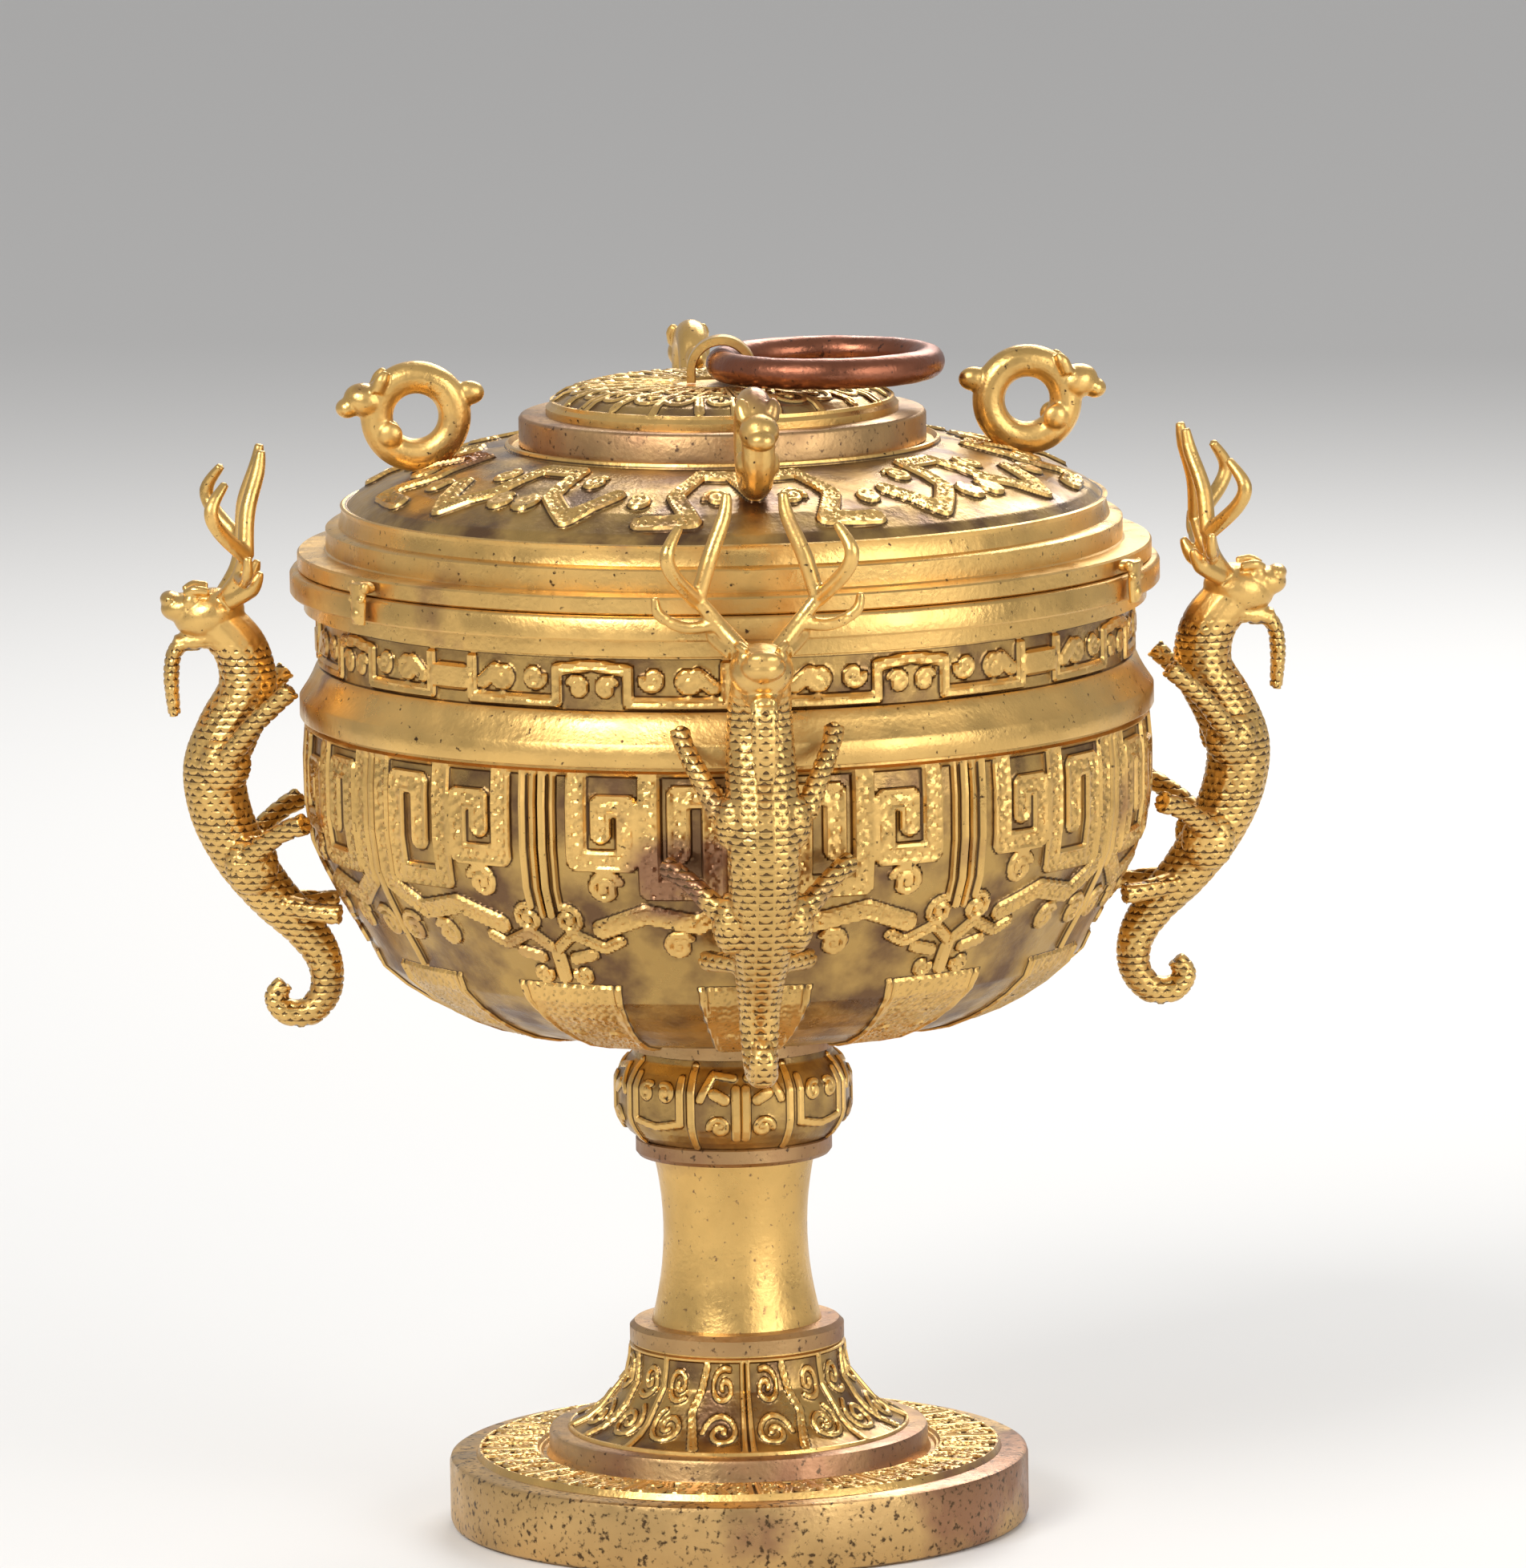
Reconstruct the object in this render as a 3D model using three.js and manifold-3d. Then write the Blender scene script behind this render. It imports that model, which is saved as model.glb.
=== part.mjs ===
// Gilt bronze covered stem cup with dragon handles, in millimetres, +Z up.
// The origin is the centre of the flat foot rim; the reader stands on the -Y side.
import * as THREE from 'three';
import { mergeVertices } from 'three/addons/utils/BufferGeometryUtils.js';
import Module from 'manifold-3d';

const wasm = await Module();
wasm.setup();

// Heights of the stacked parts
const plinthHeight = 14.6;
const footStepHeight = 5.4;
const footConeHeight = 18.2;
const footCollarHeight = 4;
const stemHeight = 35;
const stemCollarHeight = 3.7;
const knobHeight = 18.8;
const bowlCollarHeight = 4.3;
const bowlHeight = 96.5;
const lidDomeHeight = 24.5;
const topStepHeight = 6.1;
const topDiscHeight = 6;

// Radii
const plinthRadius = 60;
const plinthFriezeInner = 40.6;
const plinthFriezeOuter = 54.5;
const plinthFriezeThickness = 1.5;
const footStepRadius = 39.3;
const footConeTopRadius = 22.2;
const stemWaistRadius = 14.9;
const stemCollarRadius = 20.3;
const knobRadius = 24.7;
const bowlCollarRadius = 21.4;
const bowlRadius = 87.6;
const neckRadius = 84.2;
const rimRadius = 89.3;
const lidRimRadius = 87.7;
const lidStepRadius = 81.8;
const topStepRadius = 41.8;
const topDiscRadius = 36.2;

// Walls, pins and clearances
const plinthWall = 3.6;
const bowlWall = 3.5;
const lidWall = 3;
const flangeWall = 3.4;
const flangeDepth = 5.5;
const rodRadius = 5;
const boreClearance = 0.3;
const seatClearance = 0.3;
const lidSeatGap = 0.2;

// Ring and its loop
const ringRadius = 21.3;
const ringWire = 3.25;
const loopInner = 5.2;
const loopThickness = 2;
const loopStraight = 2.3;
const loopWidth = 5;

// Lid finials, clasps and handles
const finialPlace = 63;
const finialRingRadius = 8;
const finialWire = 3.6;
const claspWidth = 6.6;
const claspHeight = 9.6;
const claspThickness = 2.5;
const handleTurn = 3.9;
const finialTurn = 5.9;

// Facets round the vessel, round the foot and round the stem
const vesselSegments = 28;
const footSegments = 28;
const stemSegments = 20;

// Levels worked out from the heights
const zFootStep = plinthHeight;
const zFootCone = zFootStep + footStepHeight;
const zFootCollar = zFootCone + footConeHeight;
const zStem = zFootCollar + footCollarHeight;
const zStemCollar = zStem + stemHeight;
const zKnob = zStemCollar + stemCollarHeight;
const zBowlCollar = zKnob + knobHeight;
const zBowl = zBowlCollar + bowlCollarHeight;
const zRim = zBowl + bowlHeight;
const zLid = zRim + lidSeatGap;
const zTopStep = zLid + lidDomeHeight;
const zTopDisc = zTopStep + topStepHeight;
const zTop = zTopDisc + topDiscHeight;

const gilt = (color, roughness) => new THREE.MeshStandardMaterial({ color, roughness, metalness: 1 });
const gold = gilt(0xd9a441, 0.35);
const wornGold = gilt(0xa9702f, 0.45);
const copper = gilt(0x6b4030, 0.4);

const part = new THREE.Group();

// A three.js geometry as a closed solid, facing out
function solid(geometry) {
  for (const name of ['normal', 'uv']) geometry.deleteAttribute(name);
  const merged = mergeVertices(geometry, 1e-4);
  const index = merged.index.array;
  const faces = [];
  for (let i = 0; i < index.length; i += 3) {
    const [a, b, c] = [index[i], index[i + 1], index[i + 2]];
    if (a !== b && b !== c && a !== c) faces.push(a, b, c);
  }
  const make = (tris) => new wasm.Manifold(new wasm.Mesh({
    numProp: 3,
    vertProperties: new Float32Array(merged.attributes.position.array),
    triVerts: new Uint32Array(tris),
  }));
  const first = make(faces);
  if (first.volume() > 0) return first;
  const turned = [];
  for (let i = 0; i < faces.length; i += 3) turned.push(faces[i], faces[i + 2], faces[i + 1]);
  return make(turned);
}

function geometryOf(manifold) {
  const mesh = manifold.getMesh();
  const geometry = new THREE.BufferGeometry();
  geometry.setAttribute('position', new THREE.BufferAttribute(new Float32Array(mesh.vertProperties), 3));
  geometry.setIndex(new THREE.BufferAttribute(new Uint32Array(mesh.triVerts), 1));
  geometry.computeVertexNormals();
  return geometry;
}

function add(name, manifold, material, turnDegrees = 0) {
  const mesh = new THREE.Mesh(geometryOf(manifold), material);
  mesh.name = name;
  mesh.rotation.z = THREE.MathUtils.degToRad(turnDegrees);
  part.add(mesh);
}

// A closed outline of [radius, height] points turned about the vertical axis
function turned(outline, segments) {
  const points = [...outline, outline[0]].map(([r, z]) => new THREE.Vector2(r, z));
  return solid(new THREE.LatheGeometry(points, segments).rotateX(Math.PI / 2));
}

// A bored disc or sleeve from its outer outline, given from bottom to top
function bored(outer, segments) {
  const bore = rodRadius + boreClearance;
  const bottom = outer[0][1];
  const top = outer[outer.length - 1][1];
  return turned([[bore, bottom], ...outer, [bore, top]], segments);
}

// A round bar along a smooth path, with a radius at each path point
function bar(path, radii, sides = 5, steps = 4, wide = 1) {
  const curve = new THREE.CatmullRomCurve3(path.map((p) => new THREE.Vector3(...p)));
  const frames = curve.computeFrenetFrames(steps, false);
  const vertices = [];
  const faces = [];
  for (let i = 0; i <= steps; i += 1) {
    const at = (i / steps) * (radii.length - 1);
    const low = Math.min(Math.floor(at), radii.length - 2);
    const radius = radii[low] + (radii[low + 1] - radii[low]) * (at - low);
    const centre = curve.getPoint(i / steps);
    for (let s = 0; s < sides; s += 1) {
      const angle = (2 * Math.PI * s) / sides;
      const offset = frames.normals[i].clone().multiplyScalar(Math.cos(angle) * radius)
        .addScaledVector(frames.binormals[i], Math.sin(angle) * radius);
      offset.y *= wide;
      vertices.push(...centre.clone().add(offset).toArray());
    }
  }
  for (let i = 0; i < steps; i += 1) {
    for (let s = 0; s < sides; s += 1) {
      const a = i * sides + s;
      const b = i * sides + ((s + 1) % sides);
      faces.push(a, b, b + sides, a, b + sides, a + sides);
    }
  }
  for (let s = 1; s < sides - 1; s += 1) {
    faces.push(0, s + 1, s);
    const end = steps * sides;
    faces.push(end, end + s, end + s + 1);
  }
  const geometry = new THREE.BufferGeometry();
  geometry.setAttribute('position', new THREE.Float32BufferAttribute(vertices, 3));
  geometry.setIndex(faces);
  return solid(geometry);
}

function egg([x, y, z], [rx, ry, rz], around = 6, down = 4) {
  return solid(new THREE.SphereGeometry(1, around, down).scale(rx, ry, rz).translate(x, y, z));
}

// The radius at which a faceted sleeve stays clear of a faceted wall, however it is turned
const clearOf = (radius) => (radius + seatClearance) / Math.cos(Math.PI / vesselSegments);

const join = (solids) => solids.reduce((whole, next) => whole.add(next));

// Foot: a hollow plinth, its frieze plate, a step, a flared cone and a collar
add('plinth', turned([
  [0, plinthHeight - plinthWall], [plinthRadius - plinthWall, plinthHeight - plinthWall],
  [plinthRadius - plinthWall, 0], [plinthRadius - 1.5, 0], [plinthRadius, 1.8],
  [plinthRadius, plinthHeight - 1.4], [plinthRadius - 1, plinthHeight], [0, plinthHeight],
], footSegments), wornGold);
add('plinth_frieze', turned([
  [plinthFriezeInner, plinthHeight], [plinthFriezeOuter, plinthHeight],
  [plinthFriezeOuter - 0.6, plinthHeight + plinthFriezeThickness],
  [plinthFriezeInner + 0.6, plinthHeight + plinthFriezeThickness],
], footSegments), gold);
add('foot_step', bored([
  [footStepRadius + 0.6, zFootStep], [footStepRadius, zFootStep + 1.2],
  [footStepRadius, zFootCone - 1], [footStepRadius - 1, zFootCone],
], stemSegments), wornGold);
add('foot_cone', bored([
  [footStepRadius - 3.4, zFootCone], [footStepRadius - 7.8, zFootCone + 2],
  [footStepRadius - 10.4, zFootCone + 4], [footStepRadius - 13.2, zFootCone + 7.5],
  [footConeTopRadius + 1.1, zFootCone + 11], [footConeTopRadius + 0.3, zFootCone + 15],
  [footConeTopRadius, zFootCollar],
], footSegments), gold);
add('foot_collar', bored([
  [footConeTopRadius, zFootCollar], [footConeTopRadius, zStem - 1], [footConeTopRadius - 1, zStem],
], footSegments), wornGold);

// Stem, knob and the collars between them
add('stem', bored([
  [stemWaistRadius + 2.6, zStem], [stemWaistRadius + 2, zStem + 2],
  [stemWaistRadius + 0.6, zStem + stemHeight * 0.28], [stemWaistRadius, zStem + stemHeight * 0.55],
  [stemWaistRadius + 0.8, zStem + stemHeight * 0.77], [stemWaistRadius + 2.4, zStemCollar],
], stemSegments), gold);
add('stem_collar', bored([
  [stemCollarRadius - 0.6, zStemCollar], [stemCollarRadius, zStemCollar + 0.8],
  [stemCollarRadius, zKnob],
], stemSegments), wornGold);
add('knob', bored([
  [knobRadius - 5, zKnob], [knobRadius - 1.6, zKnob + knobHeight * 0.17],
  [knobRadius, zKnob + knobHeight * 0.5], [knobRadius - 0.8, zKnob + knobHeight * 0.78],
  [knobRadius - 3.6, zBowlCollar],
], stemSegments), gold);
add('bowl_collar', bored([
  [bowlCollarRadius, zBowlCollar], [bowlCollarRadius, zBowl - 0.6], [bowlCollarRadius - 0.6, zBowl],
], stemSegments), wornGold);
add('stem_rod', turned([[0, plinthHeight], [rodRadius, plinthHeight], [rodRadius, zBowl], [0, zBowl]], 16), copper);

// Bowl: the outside from the flat underneath to the rim, then the inside back down
const bowlOutside = [
  [bowlCollarRadius + 4, zBowl], [bowlRadius * 0.45, zBowl + 1.6], [bowlRadius * 0.6, zBowl + 4],
  [bowlRadius * 0.714, zBowl + 8.6], [bowlRadius * 0.824, zBowl + 16], [bowlRadius * 0.879, zBowl + 23.6],
  [bowlRadius * 0.914, zBowl + 28.6], [bowlRadius * 0.957, zBowl + 36], [bowlRadius * 0.981, zBowl + 41],
  [bowlRadius * 0.996, zBowl + 49], [bowlRadius, zBowl + 58], [bowlRadius - 0.6, zBowl + 66],
  [bowlRadius + 0.2, zBowl + 66], [bowlRadius + 0.2, zBowl + 70.6],
  [neckRadius + 0.9, zBowl + 74.6], [neckRadius, zBowl + 76.6], [neckRadius, zBowl + 88],
  [rimRadius - 2.8, zBowl + 88], [rimRadius - 2.8, zBowl + 91.2], [rimRadius, zBowl + 91.8],
  [rimRadius, zRim - 0.8], [rimRadius - 0.8, zRim],
];
const bowlInside = [
  [neckRadius - bowlWall, zRim], [neckRadius - bowlWall, zBowl + 64],
  [bowlRadius - bowlWall - 1, zBowl + 50], [bowlRadius * 0.957 - bowlWall, zBowl + 37],
  [bowlRadius * 0.879 - bowlWall, zBowl + 25.5], [bowlRadius * 0.714 - bowlWall, zBowl + 11.8],
  [bowlRadius * 0.45 - bowlWall, zBowl + 5.2], [0, zBowl + 4.4],
];
add('bowl', turned([[0, zBowl], ...bowlOutside, ...bowlInside], vesselSegments), gold);

// Lid: locating flange, rim, step and dome over a hollow
const zLidStep = zLid + 3.5;
const flangeOuter = neckRadius - bowlWall - 0.5;
const lidOutside = [
  [flangeOuter, zLid], [lidRimRadius, zLid], [lidRimRadius, zLidStep], [lidStepRadius, zLidStep + 0.2],
  [lidStepRadius, zLidStep + 4.9], [lidStepRadius - 2.5, zLidStep + 5.2], [lidStepRadius - 2.8, zLid + 11.5],
  [lidStepRadius - 6, zLid + 14.5], [lidStepRadius - 13, zLid + 18.2], [lidStepRadius - 23, zLid + 21.4],
  [lidStepRadius - 33, zLid + 23.6], [topStepRadius + 1, zTopStep],
];
const lidInside = [
  [0, zTopStep], [0, zTopStep - lidWall], [topStepRadius, zTopStep - lidWall],
  [lidStepRadius - 23, zLid + 21.4 - lidWall], [lidStepRadius - 7 - lidWall, zLid + 12],
  [flangeOuter - flangeWall, zLid + 3], [flangeOuter - flangeWall, zLid - flangeDepth],
  [flangeOuter, zLid - flangeDepth],
];
add('lid_shell', turned([...lidOutside, ...lidInside], vesselSegments), gold);
add('lid_top_step', turned([
  [0, zTopStep], [topStepRadius, zTopStep], [topStepRadius, zTopDisc - 0.7], [topStepRadius - 0.7, zTopDisc],
  [0, zTopDisc],
], stemSegments), wornGold);
add('lid_top_disc', turned([
  [0, zTopDisc], [topDiscRadius, zTopDisc], [topDiscRadius, zTopDisc + 1.6], [topDiscRadius - 2.6, zTop - 1.6],
  [topDiscRadius - 8, zTop], [0, zTop],
], stemSegments), gold);

// Loop on the lid and the ring that swings in it
const loopOuter = loopInner + loopThickness;
const arch = new THREE.Shape();
arch.moveTo(-loopOuter, 0);
arch.lineTo(-loopInner, 0);
arch.lineTo(-loopInner, loopStraight);
arch.absarc(0, loopStraight, loopInner, Math.PI, 0, true);
arch.lineTo(loopInner, 0);
arch.lineTo(loopOuter, 0);
arch.lineTo(loopOuter, loopStraight);
arch.absarc(0, loopStraight, loopOuter, 0, Math.PI, false);
const archSolid = new THREE.ExtrudeGeometry(arch, { depth: loopWidth, bevelEnabled: false, curveSegments: 8 })
  .rotateX(Math.PI / 2).translate(0, loopWidth / 2, zTop);
add('lid_loop', solid(archSolid), gold);
const zRing = zTop + seatClearance + ringWire;
add('lid_ring', solid(new THREE.TorusGeometry(ringRadius, ringWire, 8, 24).translate(ringRadius, 0, zRing)), copper);

// Curled beast finial in its own frame, outward along +X, cut to sit on the lid
const lidEnvelope = turned([[0, zLid], ...lidOutside.slice(1).map(([r, z]) => [clearOf(r), z + seatClearance]),
  [0, zTopStep + seatClearance]], vesselSegments);
const zFinial = zLid + 20.2 + finialRingRadius + finialWire - 0.6;
const finial = join([
  solid(new THREE.TorusGeometry(finialRingRadius, finialWire, 6, 14).rotateX(Math.PI / 2)
    .translate(finialPlace, 0, zFinial)),
  egg([finialPlace + 10.5, 0, zFinial + 3.2], [5, 4.4, 4]),
  egg([finialPlace + 14.5, 0, zFinial + 1.8], [2.4, 2.8, 2.2]),
  egg([finialPlace - 11, 0, zFinial + 4.5], [3.4, 2.4, 2.6]),
]).subtract(lidEnvelope);
const finialNames = ['finial_front', 'finial_right', 'finial_back', 'finial_left'];
finialNames.forEach((name, i) => add(name, finial, gold, finialTurn - 90 + 90 * i));

// Beast mask clasp: a lug from the lid rim and a mask over the bowl rim
const claspBack = rimRadius + seatClearance;
const claspLug = solid(new THREE.BoxGeometry(claspBack + 1 - lidRimRadius - seatClearance, claspWidth - 1.4, 2.6)
  .translate((claspBack + 1 + lidRimRadius + seatClearance) / 2, 0, zLid + 2));
const claspPlate = solid(new THREE.BoxGeometry(claspThickness - 0.9, claspWidth - 0.8, claspHeight - 1)
  .translate(claspBack + (claspThickness - 0.9) / 2, 0, zLid + 3.3 - claspHeight / 2));
const clasp = join([
  claspLug, claspPlate,
  egg([claspBack + 1.7, 0, zLid - 3.4], [1.2, 1.6, 1.7]),
  egg([claspBack + 1.5, 1.9, zLid - 0.4], [1.1, 1.2, 1.3]),
  egg([claspBack + 1.5, -1.9, zLid - 0.4], [1.1, 1.2, 1.3]),
]);
['clasp_left', 'clasp_right', 'clasp_back'].forEach((name, i) =>
  add(name, clasp, gold, finialTurn - 90 - 60 + 120 * i));

// Dragon handle in its own frame, outward along +X, cut to sit on the bowl
const bowlEnvelope = turned([[0, zBowl - 2], ...bowlOutside.map(([r, z]) => [clearOf(r), z]),
  [0, zRim]], vesselSegments);
const up = (z) => zBowl + z;
const dragonParts = [
  bar([[104, 0, up(86)], [99.5, 0, up(80)], [98.5, 0, up(72)], [102.5, 0, up(64)], [105.5, 0, up(56)],
    [104.5, 0, up(47)], [100.5, 0, up(38)], [94.5, 0, up(29.5)], [88, 0, up(22.5)], [84, 0, up(16)],
    [83.6, 0, up(9.5)], [87, 0, up(4.8)], [92.5, 0, up(4.3)], [95, 0, up(8)]],
  [5.4, 6, 6.4, 6.9, 7, 6.8, 6.2, 5.4, 4.6, 3.9, 3.5, 3.2, 3, 2.6], 6, 16, 1.1),
  egg([106.5, 0, up(88.2)], [8, 6.8, 5.6], 7, 4),
  egg([112.6, 0, up(89)], [4.4, 5, 3.6]),
  egg([110, 0, up(82)], [5, 4, 1.9]),
  bar([[110, 0, up(84)], [113.6, 0, up(77)], [113.8, 0, up(68)]], [2, 2.2, 1.8], 5, 3, 1.3),
];
for (const side of [-1, 1]) {
  const at = (r, t, z) => [r, side * t, up(z)];
  dragonParts.push(
    bar([at(103.5, 2.5, 90), at(99.5, 8, 96.5), at(98.5, 12, 101.5)], [2.1, 1.8, 1.6], 4, 3),
    bar([at(98.5, 12, 101), at(104, 17, 107), at(105.5, 18, 111.5), at(102.5, 15.5, 116.5)],
      [1.6, 1.5, 1.4, 1.1], 4, 4),
    bar([at(98.5, 12, 101), at(98, 9.4, 109.5), at(95.6, 6.2, 117.5), at(94.8, 5.6, 122.3)],
      [1.6, 1.5, 1.4, 1.1], 4, 4),
    bar([at(99.2, 7.5, 96), at(99, 14.5, 96), at(98.4, 19.5, 98.5), at(98.4, 20.6, 102)],
      [1.5, 1.4, 1.3, 1], 4, 3),
    egg(at(103.5, 6.2, 57.5), [5.6, 4, 6]),
    bar([at(103, 8.5, 59), at(98, 12, 66), at(93, 14.5, 71.5), at(89, 15.6, 72.6)], [2.8, 2.5, 2.4, 2.8], 5, 3),
    egg(at(98.5, 6.6, 36.5), [5.8, 4, 6.4]),
    bar([at(98.5, 8.5, 39), at(93, 14, 44), at(86, 18.2, 46.6)], [2.8, 2.5, 2.8], 5, 2),
    bar([at(91, 4, 27.5), at(84, 8.6, 26.6), at(78.5, 9.9, 26.3)], [2.4, 2.3, 2.3], 5, 2),
  );
}
const dragon = join(dragonParts).subtract(bowlEnvelope);
const dragonNames = ['dragon_front', 'dragon_right', 'dragon_back', 'dragon_left'];
dragonNames.forEach((name, i) => add(name, dragon, gold, handleTurn - 90 + 90 * i));

export default part;
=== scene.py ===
import math
import bpy
import bmesh
import numpy as np
from mathutils import Matrix, Vector


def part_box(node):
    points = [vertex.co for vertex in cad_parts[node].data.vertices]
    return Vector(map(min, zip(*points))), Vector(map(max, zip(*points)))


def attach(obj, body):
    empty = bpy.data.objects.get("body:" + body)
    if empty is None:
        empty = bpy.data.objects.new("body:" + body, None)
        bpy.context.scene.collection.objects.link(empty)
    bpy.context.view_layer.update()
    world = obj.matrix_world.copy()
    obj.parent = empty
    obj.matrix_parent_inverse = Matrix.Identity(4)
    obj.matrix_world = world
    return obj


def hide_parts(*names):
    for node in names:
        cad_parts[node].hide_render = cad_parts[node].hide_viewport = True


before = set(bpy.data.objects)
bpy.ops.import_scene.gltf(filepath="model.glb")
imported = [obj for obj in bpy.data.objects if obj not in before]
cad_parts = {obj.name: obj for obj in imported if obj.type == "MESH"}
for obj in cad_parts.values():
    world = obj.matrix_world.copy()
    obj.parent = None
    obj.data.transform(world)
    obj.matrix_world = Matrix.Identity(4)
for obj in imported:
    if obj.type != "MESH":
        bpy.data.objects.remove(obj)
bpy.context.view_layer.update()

MM = 0.001
HANDLE_TURN = math.radians(3.9)
FINIAL_TURN = math.radians(5.9)


def top_of(node):
    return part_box(node)[1][2] / MM


# Levels and radii in millimetres, read from the frame
Z_PLINTH = top_of("plinth")
Z_STEP = top_of("foot_step")
Z_CONE = top_of("foot_cone")
Z_FOOT_COLLAR = top_of("foot_collar")
Z_STEM = top_of("stem")
Z_STEM_COLLAR = top_of("stem_collar")
Z_KNOB = top_of("knob")
Z_BOWL = top_of("bowl_collar")
Z_RIM = top_of("bowl")
Z_LID = Z_RIM + 0.2
Z_TOP_STEP = top_of("lid_shell")
Z_DISC = top_of("lid_top_step")
Z_TOP = top_of("lid_top_disc")
R_BOWL = 87.6
R_NECK = 84.2
R_RIM = 89.3
R_LID_STEP = 81.8
R_TOP_STEP = 41.8
R_DISC = 36.2


# Materials
def gilt(name, bright, dark, wear, wear_amount, speckle=0.0, rough=0.3):
    """Gilding that is bright on raised work, dark in its recesses with painted shade along the foot of the relief, and
    rubbed to the bronze in patches.
    """
    mat = bpy.data.materials.new(name)
    mat.use_nodes = True
    nodes, links = mat.node_tree.nodes, mat.node_tree.links
    shader = nodes["Principled BSDF"]
    shader.inputs["Metallic"].default_value = 0.95
    coords = nodes.new("ShaderNodeTexCoord")

    def noise(scale, detail):
        node = nodes.new("ShaderNodeTexNoise")
        node.inputs["Scale"].default_value = scale
        node.inputs["Detail"].default_value = detail
        links.new(coords.outputs["Object"], node.inputs["Vector"])
        return node.outputs["Fac"]

    def ramp(value, low, high, left=(0, 0, 0, 1), right=(1, 1, 1, 1)):
        node = nodes.new("ShaderNodeValToRGB")
        node.color_ramp.elements[0].position = low
        node.color_ramp.elements[1].position = high
        node.color_ramp.elements[0].color = left
        node.color_ramp.elements[1].color = right
        links.new(value, node.inputs["Fac"])
        return node.outputs["Color"]

    def mix(factor, first, second):
        node = nodes.new("ShaderNodeMix")
        node.data_type = "RGBA"
        links.new(factor, node.inputs["Factor"])
        for socket, value in ((node.inputs[6], first), (node.inputs[7], second)):
            if isinstance(value, tuple):
                socket.default_value = value
            else:
                links.new(value, socket)
        return node.outputs[2]

    depth = nodes.new("ShaderNodeAttribute")
    depth.attribute_name = "relief"
    raised = ramp(depth.outputs["Fac"], 0.34, 0.52)
    # Painted shade: relief values just above the ground, at the foot of each stroke, are painted in the dark colour
    painted_groove_shade = ramp(depth.outputs["Fac"], 0.03, 0.22)
    tone = ramp(noise(60, 5), 0.35, 0.65, tuple(c * 0.78 for c in bright[:3]) + (1,), bright)
    patches = ramp(noise(28, 6), 0.62 - wear_amount, 0.7 - wear_amount * 0.6)
    specks = ramp(noise(800, 3), 0.66 - speckle, 0.74 - speckle * 0.7)
    ground = ramp(noise(90, 5), 0.36, 0.6, tuple(c * 2 for c in dark[:3]) + (1,),
                  tuple(c * 0.62 for c in bright[:3]) + (1,))
    skin = mix(patches, tone, wear)
    skin = mix(specks, skin, dark)
    colour = mix(raised, mix(painted_groove_shade, ground, dark), skin)
    links.new(colour, shader.inputs["Base Color"])
    roughness = ramp(noise(140, 4), 0.3, 0.75, (rough - 0.08,) * 3 + (1,), (rough + 0.18,) * 3 + (1,))
    links.new(roughness, shader.inputs["Roughness"])
    bump = nodes.new("ShaderNodeBump")
    bump.inputs["Strength"].default_value = 0.25
    bump.inputs["Distance"].default_value = 0.0004
    links.new(noise(900, 4), bump.inputs["Height"])
    links.new(bump.outputs["Normal"], shader.inputs["Normal"])
    return mat


GOLD = (0.83, 0.52, 0.17, 1)
# RECESS is the painted shade colour at the foot of the bright gilding's relief, and the colour of its dark specks
RECESS = (0.09, 0.05, 0.025, 1)
BROWN = (0.33, 0.17, 0.09, 1)
gold = gilt("gilt", GOLD, RECESS, BROWN, 0.02)
plain_gold = gilt("gilt_plain", GOLD, (0.3, 0.17, 0.08, 1), BROWN, 0.06, 0.02)
worn = gilt("gilt_worn", (0.55, 0.34, 0.15, 1), (0.12, 0.07, 0.04, 1), BROWN, 0.16, 0.05, 0.38)
speckled = gilt("gilt_speckled", (0.66, 0.42, 0.17, 1), (0.1, 0.06, 0.03, 1), BROWN, 0.08, 0.1, 0.34)
copper = gilt("ring_copper", (0.3, 0.11, 0.06, 1), (0.08, 0.04, 0.03, 1), (0.6, 0.36, 0.14, 1), -0.02, 0.03, 0.3)


# Relief: strokes on half a unit, mirrored and repeated round the vessel
def spiral(x, y, radius, turns=1.6, start=0.0, hand=1):
    t = np.linspace(0, 1, 26)
    angle = start + hand * turns * 2 * math.pi * t
    r = radius * (1 - 0.86 * t)
    return [(x + a * math.cos(b), y + a * math.sin(b)) for a, b in zip(r, angle)]


def stroke_height(x, y, strokes):
    """Height from 0 to 1 on a grid: each stroke is (points, half width, level, scrolls in it)."""
    height = np.zeros_like(x)
    for points, half, level, filled in strokes:
        best = np.full_like(x, 1e9)
        for (ax, ay), (bx, by) in zip(points[:-1], points[1:]):
            dx, dy = bx - ax, by - ay
            t = np.clip(((x - ax) * dx + (y - ay) * dy) / max(dx * dx + dy * dy, 1e-9), 0, 1)
            best = np.minimum(best, np.hypot(x - ax - t * dx, y - ay - t * dy))
        h = np.clip((half - best) / 0.45 + 0.5, 0, 1) * level
        if filled:
            inner = np.clip((half - 0.9 - best) / 0.3 + 0.5, 0, 1)
            grain = 0.5 + 0.5 * np.cos(x * 2.9 + np.sin(y * 2.2)) * np.cos(y * 2.9 + np.sin(x * 2.2))
            h = h * (1 - inner * (0.42 - 0.4 * np.clip(grain * 2 - 0.7, 0, 1)))
        height = np.maximum(height, h)
    return height


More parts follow.
